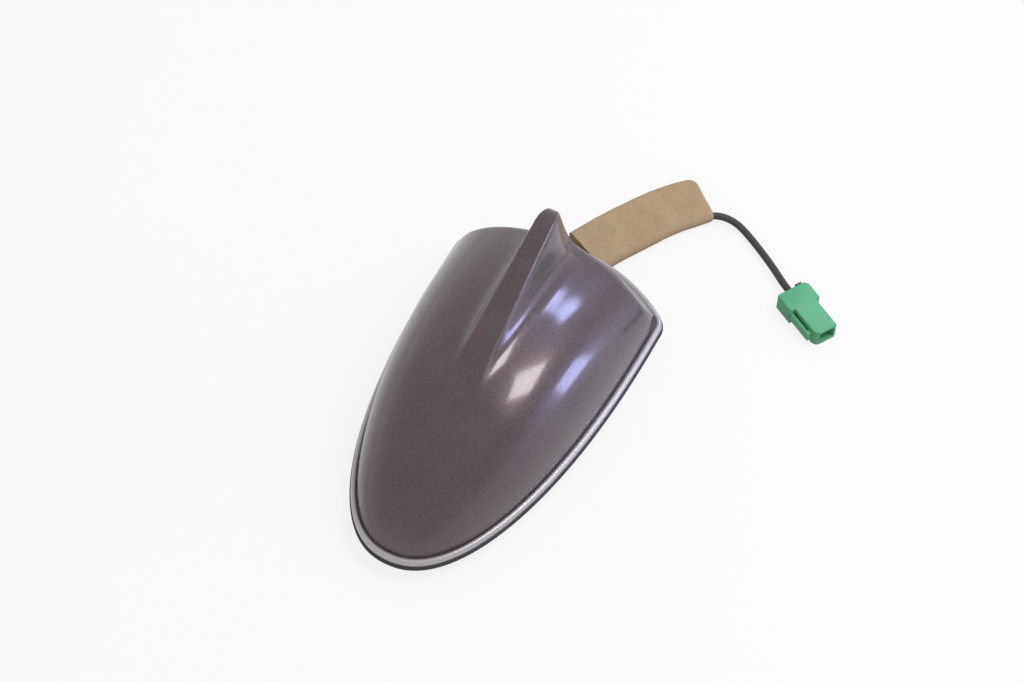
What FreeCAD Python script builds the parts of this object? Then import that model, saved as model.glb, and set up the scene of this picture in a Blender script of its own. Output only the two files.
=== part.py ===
import FreeCAD, Part
import math
import os

# Roof antenna with a moulded fin cover, its receiver inside, and a coaxial lead.
# Millimetres. +Z is up and the nose points to -Y. The origin is the mouth of the fixing
# thread, on the end face of the collar under the base, which is where the part stands.
# "From the nose" is a distance measured rearwards along Y from the front of the cover's lip.

Vector = FreeCAD.Vector
UP = Vector(0, 0, 1)
REARWARD = Vector(0, 1, 0)

# Cover, in plan
body_length = 149.0
body_width = 85.4
side_run = 3.711157
least_side_run = 0.1
nose_power = 2.25
nose_root = 2.2
rear_radius = 65.0
corner_radius = 7.0
thread_from_nose = 84.0

# Cover, in height
collar_drop = 5.0
gasket_height = 2.4
lip_height = 2.3
lip_round = 1.0
lip_ledge = 2.4
cover_wall = 2.4
crest_rise = 55.6
crest_power = 0.6
rear_foot_slope = 0.73
rear_tip_lean = 20.7
rear_foot_shift = 0.6
rear_corner_from_rear = 24.5
rear_corner_sweep = 19.0
side_power = 3.4
nose_flat = 0.5

# Fin
fin_start_from_nose = 52.0
fin_tip_from_rear = 26.0
fin_rise = 26.1
fin_rise_power = 1.6
fin_front_width = 10.0
fin_tip_width = 6.0
fin_wall = 2.0
fin_edge_reach = 1.3
fin_edge_power = 2.6
fin_root_reach = 9.0
tip_round_from_rear = 31.0
tip_round_radius = 9.0

# Gasket, base and collar
gasket_reveal = 0.5
gasket_width = 13.0
base_thickness = 3.0
fit_clearance = 0.3
collar_front = 16.0
collar_rear = 29.0
collar_width = 36.0
collar_wall = 3.0
collar_corner = 6.0
thread_radius = 2.5
thread_depth = 9.0
boss_radius = 6.5
rib_thickness = 2.5
rib_lift = 1.0
cable_slot_front = 6.0
cable_slot_rear = 23.5

# Cover screws: half the spacing across each pair, and how far it stands from its end
front_screw_across = 25.5
front_screw_from_nose = 50.0
rear_screw_across = 29.5
rear_screw_from_rear = 35.0
cover_boss_radius = 3.2
cover_screw_radius = 1.25
cover_screw_length = 9.0
cover_screw_head_radius = 2.5
cover_screw_head_height = 1.6
screw_clearance = 0.25

# Circuit board and what stands on it
board_width = 40.0
board_front = 40.0
board_rear = 18.0
board_thickness = 1.2
board_corner = 2.0
post_height = 5.0
post_radius = 2.6
post_inset = 3.6
board_screw_radius = 0.9
board_screw_length = 5.0
board_screw_head_radius = 1.8
board_screw_head_height = 1.2
patch_side = 25.0
patch_height = 4.0
patch_corner = 1.0
patch_place = -22.0
pad_height = 0.5
pad_margin = 1.0
electrode_side = 20.0
electrode_height = 0.1
electrode_notch = 2.0
feed_pin_radius = 0.5
feed_pin_offset = 2.0
feed_pin_head_radius = 1.3
feed_pin_head_height = 0.4
feed_pin_tail = 1.2
can_length = 14.0
can_width = 20.0
can_height = 3.4
can_wall = 0.3
can_place = 3.0
chip_side = 3.0
chip_height = 0.9
filter_side = 3.8
filter_height = 1.3
chip_spread = 5.0

# Lead
cable_diameter = 2.8
cable_height = 3.2
inner_cable_height = 13.2
clip_length = 4.0
clip_wall = 0.8
grommet_width = 5.6
grommet_flange = 1.2
grommet_flange_thickness = 1.2
foam_thickness = 6.2
foam_width = 21.0
foam_start_share = 0.27
foam_cover_gap = 0.6
foam_end_share = 1.3
foam_slit = 0.4
foam_bore_clearance = 0.1
arc_share = 0.45

# Connector, measured along and across its own axis
plug_axis_height = 4.0
plug_collar_length = 8.5
plug_collar_width = 12.8
plug_corner_cut = 1.5
plug_front_length = 13.5
plug_front_width = 9.0
plug_front_offset = 0.1
plug_height = 8.0
plug_front_height = 7.2
plug_nose_round = 2.5
plug_edge_round = 0.4
mouth_width = 6.4
mouth_offset = 0.6
mouth_height = 5.2
mouth_depth = 9.0
latch_length = 12.0
latch_thickness = 1.2
latch_height = 4.0
latch_gap = 0.8
latch_root = 2.0
cable_entry = 3.0
contact_radius = 2.1
ferrule_length = 6.0
shell_length = 8.5
shell_wall = 0.3
insulator_length = 4.0
pin_radius = 0.4
pin_length = 12.5
retainer_width = 2.6
retainer_height = 4.0
retainer_length = 5.0
retainer_reach = 1.8
retainer_offset = 3.9

# Levels and places that follow from the sizes above
rim_level = collar_drop + gasket_height
lip_top = rim_level + lip_height
base_top = rim_level + base_thickness
board_under = base_top + post_height
board_top = board_under + board_thickness
cable_radius = cable_diameter / 2
rear_arc_centre = body_length - rear_radius
rear_corner_from_nose = body_length - rear_corner_from_rear
fin_tip_from_nose = body_length - fin_tip_from_rear
tip_round_from_nose = body_length - tip_round_from_rear
cover_screw_places = (
    (front_screw_across, front_screw_from_nose),
    (rear_screw_across, body_length - rear_screw_from_rear),
)

# The lead's route: across, from the nose, and height. The runs meet in large tangent arcs.
route = [
    (0.0, 83.0, inner_cable_height),
    (0.0, 92.0, inner_cable_height),
    (0.0, 102.0, cable_height),
    (0.0, 122.0, cable_height),
    (0.8, 132.0, cable_height),
    (4.6, 143.5, cable_height),
    (14.5, 161.7, cable_height),
    (20.5, 171.7, cable_height),
    (25.6, 179.9, cable_height),
    (33.4, 188.9, cable_height),
    (38.9, 192.1, cable_height),
    (45.1, 192.4, 2.5),
    (51.2, 189.9, 1.8),
    (59.3, 184.9, 1.6),
    (66.8, 179.4, 2.2),
    (74.1, 172.65, plug_axis_height),
    (80.5, 168.7, plug_axis_height),
]


def place(across, from_nose, height):
    """Give the point at a distance across, a distance from the nose, and a height."""
    return Vector(across, from_nose - thread_from_nose, height)


def cylinder(radius, length, base, axis=UP):
    """Make a round bar from the middle of its first end along an axis."""
    return Part.makeCylinder(radius, length, base, axis)


def slab(width, length, height, centre, corner=0.0):
    """Make a block on its under face's centre, its four upright edges rounded by corner."""
    corner_point = centre - Vector(width / 2, length / 2, 0)
    block = Part.makeBox(width, length, height, corner_point)
    if corner <= 0:
        return block
    upright = [edge for edge in block.Edges if abs(edge.tangentAt(edge.FirstParameter).z) > 0.9]
    return block.makeFillet(corner, upright)


def smooth_edge(points):
    """Run one smooth curve through a row of points."""
    curve = Part.BSplineCurve()
    curve.interpolate(points)
    return curve.toShape()


def inset_corner(inset):
    """Radius of the plan's rear corners, drawn in by inset."""
    return max(1.0, corner_radius - inset)


def corner_from_nose(inset):
    """Distance from the nose of the middle of the rear corners' arcs, drawn in by inset."""
    corner = inset_corner(inset)
    across = body_width / 2 - inset - corner
    return rear_arc_centre + math.sqrt((rear_radius - inset - corner) ** 2 - across ** 2)


def widest_from_nose(inset):
    """Where the plan stops widening: a straight run ahead of its rear corners."""
    widest = corner_from_nose(0) - side_run
    return min(widest, corner_from_nose(inset) - least_side_run)


def side_half_width(from_nose, inset):
    """Half the plan's width at a distance from the nose, drawn in evenly by inset."""
    share = (from_nose - inset) / (widest_from_nose(inset) - inset)
    share = min(1.0, max(0.0, share))
    return (body_width / 2 - inset) * (1 - (1 - share) ** nose_power) ** (1 / nose_root)


def plan_face(inset, level):
    """Make the cover's plan, drawn in evenly by inset: round nose, two corners, arched rear."""
    half = body_width / 2 - inset
    corner = inset_corner(inset)
    rear = rear_radius - inset
    widest = widest_from_nose(inset)
    steps = 8
    shares = [(step / steps) ** nose_root for step in range(steps + 1)]
    reach = widest - inset
    right = [(side_half_width(inset + reach * share, inset), inset + reach * share) for share in shares]
    left = [(-across, along) for across, along in reversed(right[1:])]
    front = smooth_edge([place(across, along, level) for across, along in left + right])
    centre_across = half - corner
    centre_along = corner_from_nose(inset)
    turn = math.atan2(centre_along - rear_arc_centre, centre_across)
    joint_across = rear * math.cos(turn)
    joint_along = rear_arc_centre + rear * math.sin(turn)
    middle_across = centre_across + corner * math.cos(turn / 2)
    middle_along = centre_along + corner * math.sin(turn / 2)
    edges = [front]
    for side in (1, -1):
        start = place(side * half, widest, level)
        bend = place(side * half, centre_along, level)
        middle = place(side * middle_across, middle_along, level)
        joint = place(side * joint_across, joint_along, level)
        edges.append(Part.makeLine(start, bend))
        edges.append(Part.Arc(bend, middle, joint).toShape())
    rear_middle = place(0, rear_arc_centre + rear, level)
    rear_left = place(-joint_across, joint_along, level)
    rear_right = place(joint_across, joint_along, level)
    edges.append(Part.Arc(rear_right, rear_middle, rear_left).toShape())
    return Part.Face(Part.Wire(Part.__sortEdges__(edges)))


def crest_level(from_nose, inset):
    """Height of the crest line over the dome and along the fin's top, drawn in by inset."""
    start = lip_ledge + inset
    share = max(0.0, from_nose - start) / (fin_tip_from_nose - start)
    return rim_level + (crest_rise - inset) * share ** crest_power


def fin_level(from_nose):
    """Height of the fin's top above the dome that it grows out of."""
    share = (from_nose - fin_start_from_nose) / (fin_tip_from_nose - fin_start_from_nose)
    return fin_rise * max(0.0, share) ** fin_rise_power


def fin_half_width(from_nose):
    """Half the width of the flat strip along the fin's top."""
    share = (from_nose - fin_start_from_nose) / (fin_tip_from_nose - fin_start_from_nose)
    share = min(1.0, max(0.0, share))
    return (fin_front_width + (fin_tip_width - fin_front_width) * share) / 2


def skin_section(from_nose, inset):
    """Draw one cross section of the skin: domed sides, concave fin roots and the fin's flat top."""
    past_corner = max(0.0, from_nose - rear_corner_from_nose)
    sweep = math.hypot(past_corner, rear_corner_sweep) - rear_corner_sweep
    half = side_half_width(from_nose, lip_ledge + inset) - sweep
    rise = fin_level(from_nose)
    dome = crest_level(from_nose, inset) - rise - rim_level
    past_tip = max(0.0, from_nose - tip_round_from_nose)
    rise = max(0.0, rise - past_tip ** 2 / (2 * tip_round_radius))
    strip = fin_half_width(from_nose) - inset * fin_wall / cover_wall
    strip = min(strip, 0.25 * half)
    foot = min(strip + fin_root_reach, 0.6 * half)

    def level(across):
        side = math.sqrt(max(0.0, 1 - (across / half) ** side_power))
        beyond = max(0.0, across - strip) / fin_edge_reach
        return rim_level + (dome + rise / (1 + beyond ** fin_edge_power)) * side

    wall_steps = 8
    wall = [strip + (foot - strip) * (step / wall_steps) ** 2 for step in range(wall_steps + 1)]
    side_steps = 6
    first = math.asin((foot / half) ** (side_power / 2))
    turns = [first + (math.pi / 2 - first) * step / side_steps for step in range(side_steps + 1)]
    side = [half * math.sin(turn) ** (2 / side_power) for turn in turns]
    top = [-strip, -strip / 2, 0.0, strip / 2, strip]

    def curve(row):
        return smooth_edge([place(across, from_nose, level(abs(across))) for across in row])

    edges = [curve([-across for across in reversed(side)])]
    edges.append(curve([-across for across in reversed(wall)]))
    edges.append(curve(top))
    edges.append(curve(wall))
    edges.append(curve(side))
    edges.append(Part.makeLine(place(half, from_nose, rim_level), place(-half, from_nose, rim_level)))
    return Part.Wire(edges)


def rear_lean(height):
    """How far forwards the rear face lies at a height over the lip, more upright near the tip."""
    tip_height = crest_rise - lip_height
    bend = (rear_foot_slope * tip_height - rear_tip_lean) / tip_height ** 2
    return rear_foot_slope * height - bend * height ** 2


def rear_wire(inset, height, level):
    """Draw the rear trimming block's outline at one level, with the rear face's arch in front."""
    thicker = math.hypot(1, rear_foot_slope)
    middle = body_length - lip_ledge + rear_foot_shift - inset * thicker - rear_lean(height)
    radius = rear_radius - lip_ledge - inset
    reach = 0.75 * radius
    drop = radius - math.sqrt(radius ** 2 - reach ** 2)
    beyond = 2 * body_length
    left = place(-reach, middle - drop, level)
    right = place(reach, middle - drop, level)
    arc = Part.Arc(left, place(0, middle, level), right).toShape()
    rest = Part.makePolygon([right, place(reach, beyond, level), place(-reach, beyond, level), left])
    return Part.Wire([arc] + rest.Edges)


def trim_rear(body, inset):
    """Trim a skin's rear to an arched face, upright in the lip and curving forwards above it."""
    margin = 2.0
    below = Part.Face(rear_wire(inset, 0, rim_level - margin)).extrude(UP * (lip_height + margin))
    steps = 4
    heights = [(crest_rise + margin) * step / steps for step in range(steps + 1)]
    above = Part.makeLoft([rear_wire(inset, height, lip_top + height) for height in heights], True, False)
    return body.cut(below).cut(above)


def skin(inset):
    """Loft the cover's skin as a closed body, drawn in by inset, with its rear face trimmed."""
    first = lip_ledge + inset + nose_flat
    last = body_length + nose_flat
    steps = 14
    turns = [math.pi * step / steps for step in range(steps + 1)]
    stations = [first + (last - first) * (1 - math.cos(turn)) / 2 for turn in turns]
    sections = [skin_section(station, inset) for station in stations]
    return trim_rear(Part.makeLoft(sections, True, False), inset)


def cover_screw_points(level):
    """Give the four places of the cover's screws at one height."""
    points = []
    for across, along in cover_screw_places:
        points.append(place(across, along, level))
        points.append(place(-across, along, level))
    return points


def make_cover(outer, inner):
    """Mould the cover: lip, hollow skin with its fin, and four screw bosses inside."""
    lip = plan_face(0, rim_level).extrude(UP * lip_height)
    rim = [edge for edge in lip.Edges if edge.BoundBox.ZMin > lip_top - 0.01]
    lip = lip.makeFillet(lip_round, rim)
    cover = outer.fuse(lip).cut(inner)
    for point in cover_screw_points(base_top):
        boss = cylinder(cover_boss_radius, crest_rise, point).common(outer)
        cover = cover.fuse(boss)
    depth = cover_screw_length - base_thickness
    for point in cover_screw_points(base_top):
        cover = cover.cut(cylinder(cover_screw_radius, depth + screw_clearance, point))
    return cover.removeSplitter()


def make_roof_gasket():
    """Cut the rubber ring that seals between the lip and the roof."""
    outer = plan_face(-gasket_reveal, collar_drop).extrude(UP * gasket_height)
    inner = plan_face(gasket_width, collar_drop).extrude(UP * gasket_height)
    return outer.cut(inner)


def post_points(level):
    """Give the four places of the posts under the circuit board."""
    across = board_width / 2 - post_inset
    return [
        Vector(side * across, along, level)
        for along in (-board_front + post_inset, board_rear - post_inset)
        for side in (1, -1)
    ]


def make_base_plate():
    """Cast the base: a plate that fits the cover, its collar, thread boss, ribs and board posts."""
    plate = skin(cover_wall + fit_clearance)
    plate = plate.common(slab(2 * body_width, 4 * body_length, base_thickness, Vector(0, 0, rim_level)))
    collar_length = collar_front + collar_rear
    middle = Vector(0, (collar_rear - collar_front) / 2, 0)
    outside = slab(collar_width, collar_length, rim_level, middle, collar_corner)
    inside = slab(
        collar_width - 2 * collar_wall,
        collar_length - 2 * collar_wall,
        rim_level,
        middle,
        collar_corner - collar_wall,
    )
    base = plate.fuse(outside.cut(inside))
    base = base.fuse(cylinder(boss_radius, rim_level, Vector(0, 0, 0)))
    rib_height = rim_level - rib_lift
    across = slab(collar_width - collar_wall, rib_thickness, rib_height, Vector(0, 0, rib_lift))
    along = slab(rib_thickness, collar_front - collar_wall / 2, rib_height, Vector(0, 0, rib_lift))
    along.translate(Vector(0, -(collar_front - collar_wall / 2) / 2, 0))
    base = base.fuse(across).fuse(along)
    for point in post_points(base_top):
        base = base.fuse(cylinder(post_radius, post_height, point))
    base = base.cut(cylinder(thread_radius, thread_depth, Vector(0, 0, 0)))
    for point in post_points(board_under):
        depth = board_screw_length - board_thickness + screw_clearance
        base = base.cut(cylinder(board_screw_radius, depth, point, -UP))
    for point in cover_screw_points(rim_level):
        base = base.cut(cylinder(cover_screw_radius + screw_clearance, base_thickness, point))
        seat = cover_screw_head_height + screw_clearance
        base = base.cut(cylinder(cover_screw_head_radius + screw_clearance, seat, point))
    slot_width = cable_diameter + 2 * clip_wall
    slot_length = cable_slot_rear - cable_slot_front
    slot_middle = Vector(0, (cable_slot_rear + cable_slot_front) / 2, rim_level)
    base = base.cut(slab(slot_width, slot_length, base_thickness, slot_middle))
    base = base.cut(notch_profile(grommet_width, collar_rear - collar_wall, collar_wall))
    return base.removeSplitter()


def notch_profile(width, start, length):
    """Make the tunnel-shaped block for the lead's way through the collar: arched, open below."""
    arch = cylinder(width / 2, length, Vector(0, start, cable_height), REARWARD)
    legs = Part.makeBox(width, length, cable_height, Vector(-width / 2, start, 0))
    above_floor = Part.makeBox(width, length, cable_height + width, Vector(-width / 2, start, 0))
    return arch.common(above_floor).fuse(legs).removeSplitter()


def make_cable_grommet():
    """Mould the rubber grommet that grips the collar's notch and carries the lead."""
    start = collar_rear - collar_wall
    grommet = notch_profile(grommet_width, start, collar_wall)
    flange_width = grommet_width + 2 * grommet_flange
    for edge in (start - grommet_flange_thickness, collar_rear):
        grommet = grommet.fuse(notch_profile(flange_width, edge, grommet_flange_thickness))
    length = collar_wall + 2 * grommet_flange_thickness
    first = Vector(0, start - grommet_flange_thickness, cable_height)
    return grommet.cut(cylinder(cable_radius, length, first, REARWARD)).removeSplitter()


def make_cover_screws():
    """Turn the four screws that hold the base in the cover."""
    screws = []
    for point in cover_screw_points(rim_level + screw_clearance):
        head = cylinder(cover_screw_head_radius, cover_screw_head_height, point)
        shank = cylinder(cover_screw_radius, cover_screw_length - screw_clearance, point)
        recess = cylinder(cover_screw_radius / 2, cover_screw_head_height / 2, point)
        screws.append(head.fuse(shank).cut(recess))
    return Part.makeCompound(screws)


def board_middle(level):
    """Give the circuit board's centre at one height."""
    return Vector(0, (board_rear - board_front) / 2, level)


def feed_point(level):
    """Give the place of the patch's feed pin, a little off the patch's centre."""
    return Vector(0, patch_place + feed_pin_offset, level)


def make_circuit_board():
    """Cut the circuit board, with its screw holes and the feed pin's hole."""
    length = board_front + board_rear
    board = slab(board_width, length, board_thickness, board_middle(board_under), board_corner)
    for point in post_points(board_under):
        board = board.cut(cylinder(board_screw_radius + screw_clearance, board_thickness, point))
    return board.cut(cylinder(feed_pin_radius, board_thickness, feed_point(board_under)))


def make_board_screws():
    """Turn the four small screws that hold the board on its posts."""
    screws = []
    for point in post_points(board_top):
        head = cylinder(board_screw_head_radius, board_screw_head_height, point)
        shank = cylinder(board_screw_radius, board_screw_length, point, -UP)
        screws.append(head.fuse(shank))
    return Part.makeCompound(screws)


def make_patch_pieces():
    """Make the patch aerial: foam pad, ceramic block, silvered face and feed pin."""
    middle = Vector(0, patch_place, board_top)
    pad = slab(patch_side - 2 * pad_margin, patch_side - 2 * pad_margin, pad_height, middle, patch_corner)
    block_level = board_top + pad_height
    block = slab(patch_side, patch_side, patch_height, Vector(0, patch_place, block_level), patch_corner)
    face_level = block_level + patch_height
    face = slab(electrode_side, electrode_side, electrode_height, Vector(0, patch_place, face_level))
    for side in (1, -1):
        corner = Vector(side * electrode_side / 2, patch_place + side * electrode_side / 2, face_level)
        notch = slab(electrode_notch, electrode_notch, electrode_height, corner)
        notch.rotate(corner, UP, 45)
        face = face.cut(notch)
    foot = feed_point(board_under - feed_pin_tail)
    top = face_level + electrode_height
    hole = cylinder(feed_pin_radius, top - foot.z, foot)
    head = cylinder(feed_pin_head_radius, feed_pin_head_height, feed_point(top))
    return pad.cut(hole), block.cut(hole), face.cut(hole), hole.fuse(head).removeSplitter()


def make_shield_can():
    """Fold the shield over the amplifier, open to the board."""
    middle = Vector(0, can_place, board_top)
    outside = slab(can_width, can_length, can_height, middle, 2 * can_wall)
    inside = slab(can_width - 2 * can_wall, can_length - 2 * can_wall, can_height - can_wall, middle, can_wall)
    return outside.cut(inside)


def make_chip(side, height, across):
    """Make one small package that is soldered to the board under the shield."""
    return slab(side, side, height, Vector(across, can_place, board_top))


def route_points():
    """Give the lead's route as points."""
    return [place(*point) for point in route]


def route_edges(points):
    """Join the route's runs by tangent arcs, each as large as its two runs allow.

    Returns the edges in order, and the arcs' radii.
    """
    edges = []
    radii = []
    start = points[0]
    for before, corner, after in zip(points, points[1:], points[2:]):
        back = (before - corner).normalize()
        ahead = (after - corner).normalize()
        shorter = min((before - corner).Length, (after - corner).Length)
        turn = math.pi - back.getAngle(ahead)
        tangent = arc_share * shorter
        radius = tangent / math.tan(turn / 2)
        inward = (back + ahead).normalize()
        arc_start = corner + back * tangent
        arc_end = corner + ahead * tangent
        middle = corner + inward * (radius / math.cos(turn / 2) - radius)
        edges.append(Part.LineSegment(start, arc_start).toShape())
        edges.append(Part.Arc(arc_start, middle, arc_end).toShape())
        radii.append(radius)
        start = arc_end
    edges.append(Part.LineSegment(start, points[-1]).toShape())
    return edges, radii


def tube_along(edges, radius):
    """Sweep a round bar along joined runs and arcs."""
    first = edges[0]
    start = first.valueAt(first.FirstParameter)
    direction = first.tangentAt(first.FirstParameter)
    ring = Part.Wire([Part.Circle(start, direction, radius).toShape()])
    return Part.Wire(edges).makePipeShell([ring], True, True)


def make_coax_cable(edges):
    """Sweep the coaxial lead from the board to the connector."""
    return tube_along(edges, cable_radius)


def make_foam_wrap(points, edges):
    """Fold the foam strip round the lead: a rounded fold on one side, two free edges on the other."""
    first_run = 5
    last_run = 8
    run = points[first_run + 1] - points[first_run]
    start = points[first_run] + run * foam_start_share
    arc_start = edges[2 * first_run + 1].valueAt(edges[2 * first_run + 1].FirstParameter)
    end_run = points[last_run + 1] - points[last_run]
    end = points[last_run] + end_run * foam_end_share
    path = [Part.LineSegment(start, arc_start).toShape()]
    path += edges[2 * first_run + 1:2 * last_run]
    tail = edges[2 * last_run - 1]
    path.append(Part.LineSegment(tail.valueAt(tail.LastParameter), end).toShape())
    ahead = run.normalize()
    across = UP.cross(ahead)
    half = foam_thickness / 2
    reach = foam_width - half
    lower = start - UP * half
    upper = start + UP * half
    fold = Part.Arc(lower, start - across * half, upper).toShape()
    corners = [
        upper,
        upper + across * reach,
        start + across * reach + UP * foam_slit / 2,
        start + UP * foam_slit / 2 + across * (cable_radius + foam_slit),
        start - UP * foam_slit / 2 + across * (cable_radius + foam_slit),
        start + across * reach - UP * foam_slit / 2,
        lower + across * reach,
        lower,
    ]
    profile = Part.Wire([fold] + Part.makePolygon(corners).Edges)
    foam = Part.Wire(path).makePipeShell([profile], True, True)
    beside_cover = plan_face(-gasket_reveal - foam_cover_gap, 0).extrude(UP * rim_level)
    return foam.cut(beside_cover).cut(tube_along(edges, cable_radius + foam_bore_clearance))


def to_connector(shape, points):
    """Turn a shape drawn along +Y from the connector's rear face to where the connector lies."""
    ahead = (points[-1] - points[-2]).normalize()
    rear = points[-1] - ahead * cable_entry
    turn = math.degrees(math.atan2(-ahead.x, ahead.y))
    shape = shape.copy()
    shape.rotate(Vector(0, 0, 0), UP, turn)
    shape.translate(Vector(rear.x, rear.y, 0))
    return shape


def connector_bore(radius, start, length):
    """Make a round bar on the connector's axis, from a distance ahead of its rear face."""
    return cylinder(radius, length, Vector(0, start, plug_axis_height), REARWARD)


def plug_collar():
    """Mould the connector's wide rear collar, one of its rear corners cut off."""
    half = plug_collar_width / 2
    corners = [
        Vector(half, 0, 0),
        Vector(half, plug_collar_length, 0),
        Vector(-half, plug_collar_length, 0),
        Vector(-half, plug_corner_cut, 0),
        Vector(plug_corner_cut - half, 0, 0),
        Vector(half, 0, 0),
    ]
    collar = Part.Face(Part.makePolygon(corners)).extrude(UP * plug_height)
    return collar.makeFillet(plug_edge_round, collar.Edges)


def plug_front():
    """Mould the connector's narrower front, the corner beside the latch rounded."""
    length = plug_collar_length + plug_front_length
    side = plug_front_width / 2 - plug_front_offset
    corner = Vector(side - plug_front_width, plug_collar_length / 2, (plug_height - plug_front_height) / 2)
    front = Part.makeBox(plug_front_width, length - plug_collar_length / 2, plug_front_height, corner)
    nose = [
        edge for edge in front.Edges
        if edge.BoundBox.ZLength > plug_front_height / 2
        and edge.BoundBox.XMin > side - plug_edge_round
        and edge.BoundBox.YMin > length - plug_edge_round
    ]
    return front.makeFillet(plug_nose_round, nose)


def make_connector_housing():
    """Mould the connector's housing: wide rear collar, narrower front, mouth and latch arm."""
    length = plug_collar_length + plug_front_length
    housing = plug_collar().fuse(plug_front())
    mouth_side = -mouth_width / 2 - mouth_offset
    mouth_corner = Vector(mouth_side, length - mouth_depth, plug_axis_height - mouth_height / 2)
    housing = housing.cut(Part.makeBox(mouth_width, mouth_depth, mouth_height, mouth_corner))
    housing = housing.cut(connector_bore(cable_radius, 0, cable_entry))
    housing = housing.cut(connector_bore(contact_radius, cable_entry, length - cable_entry))
    housing = housing.cut(retainer_block(0, retainer_length - retainer_reach))
    return housing.fuse(latch_arm()).removeSplitter()


def latch_arm():
    """Mould the sprung arm along the connector's side, free at its rear end."""
    length = plug_collar_length + plug_front_length
    root_end = length - plug_nose_round
    side = plug_front_width / 2 - plug_front_offset
    root = Part.makeBox(
        latch_gap + latch_thickness, latch_root, latch_height,
        Vector(side, root_end - latch_root, plug_axis_height - latch_height / 2),
    )
    arm = Part.makeBox(
        latch_thickness, latch_length, latch_height,
        Vector(side + latch_gap, root_end - latch_length, plug_axis_height - latch_height / 2),
    )
    return root.fuse(arm)


def retainer_block(start, length):
    """Make the retainer's bar, beside the lead, from a distance ahead of the rear face."""
    corner = Vector(-retainer_offset - retainer_width / 2, start, plug_axis_height - retainer_height / 2)
    return Part.makeBox(retainer_width, length, retainer_height, corner)


def make_contact_pieces():
    """Turn the connector's contact: crimp ferrule, outer shell, insulator and centre pin."""
    pin = connector_bore(pin_radius, cable_entry, pin_length)
    ferrule = connector_bore(contact_radius, cable_entry, ferrule_length).cut(pin)
    start = cable_entry + ferrule_length
    inside = contact_radius - shell_wall
    shell = connector_bore(contact_radius, start, shell_length)
    shell = shell.cut(connector_bore(inside, start, shell_length))
    insulator = connector_bore(inside, start, insulator_length).cut(pin)
    return ferrule, shell, insulator, pin


def make_ground_clip(points):
    """Fold the clip that holds the lead's inner end under the board."""
    ahead = (points[1] - points[0]).normalize()
    radius = cable_radius + clip_wall
    clip = cylinder(radius, clip_length, points[0], ahead)
    saddle = slab(2 * radius, clip_length, board_under - inner_cable_height, points[0] + ahead * clip_length / 2)
    return clip.fuse(saddle).cut(cylinder(cable_radius, clip_length, points[0], ahead)).removeSplitter()


def export(name, shape):
    """Write one piece to its own file."""
    shape.exportStep(os.path.join("parts", name + ".step"))


def main():
    """Build every piece in place and write each to its own file."""
    os.makedirs("parts", exist_ok=True)
    outer = skin(0)
    inner = skin(cover_wall)
    export("cover", make_cover(outer, inner))
    export("roof_gasket", make_roof_gasket())
    export("base_plate", make_base_plate())
    export("cover_screws", make_cover_screws())
    export("circuit_board", make_circuit_board())
    export("board_screws", make_board_screws())
    pad, block, face, pin = make_patch_pieces()
    export("patch_pad", pad)
    export("patch_antenna", block)
    export("patch_electrode", face)
    export("feed_pin", pin)
    export("shield_can", make_shield_can())
    export("amplifier_chip", make_chip(chip_side, chip_height, -chip_spread))
    export("filter_chip", make_chip(filter_side, filter_height, chip_spread))

    points = route_points()
    edges, radii = route_edges(points)
    cable = make_coax_cable(edges)
    length = sum(edge.Length for edge in edges)
    print("lead length", round(length, 1), "arc radii", [round(radius, 1) for radius in radii])
    section = math.pi * cable_radius ** 2
    print("lead volume", round(cable.Volume, 1), "section times length", round(section * length, 1))
    export("coax_cable", cable)
    export("ground_clip", make_ground_clip(points))
    export("cable_grommet", make_cable_grommet())
    export("foam_wrap", make_foam_wrap(points, edges))

    export("connector_housing", to_connector(make_connector_housing(), points))
    export("terminal_retainer", to_connector(retainer_block(-retainer_reach, retainer_length), points))
    names = ("crimp_ferrule", "contact_shell", "contact_insulator", "centre_contact")
    for name, piece in zip(names, make_contact_pieces()):
        export(name, to_connector(piece, points))


main()
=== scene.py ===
"""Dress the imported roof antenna: painted fin cover, rubber ring, foam-wrapped lead and connector."""
from __future__ import annotations

import logging
import math
from dataclasses import dataclass, field
from enum import Enum
from typing import Any, Callable, Iterable, Sequence

import bpy
from mathutils import Matrix, Vector


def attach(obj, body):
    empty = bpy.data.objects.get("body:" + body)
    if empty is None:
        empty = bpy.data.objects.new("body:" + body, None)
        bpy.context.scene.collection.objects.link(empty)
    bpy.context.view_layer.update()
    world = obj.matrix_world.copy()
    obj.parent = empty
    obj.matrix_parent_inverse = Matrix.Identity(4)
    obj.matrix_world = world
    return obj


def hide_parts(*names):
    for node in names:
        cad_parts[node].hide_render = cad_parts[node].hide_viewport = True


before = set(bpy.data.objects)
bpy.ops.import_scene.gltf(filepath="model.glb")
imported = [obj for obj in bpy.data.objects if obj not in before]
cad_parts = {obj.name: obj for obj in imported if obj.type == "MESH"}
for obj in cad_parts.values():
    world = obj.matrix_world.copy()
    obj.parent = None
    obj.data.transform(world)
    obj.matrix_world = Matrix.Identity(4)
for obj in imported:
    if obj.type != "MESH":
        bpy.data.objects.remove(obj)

LOG = logging.getLogger("roof_antenna")
BODY = "root"
IMAGE_WIDTH = 1024
CONTACT_NODES = (
    "terminal_retainer",
    "crimp_ferrule",
    "contact_shell",
    "contact_insulator",
    "centre_contact",
)

Colour = tuple[float, float, float]
Point = tuple[float, float, float]


class RowEnds(Enum):
    """Whether a row of mesh points ends or runs round to its start."""

    OPEN = "open"
    CLOSED = "closed"


# Shader tools


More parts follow.
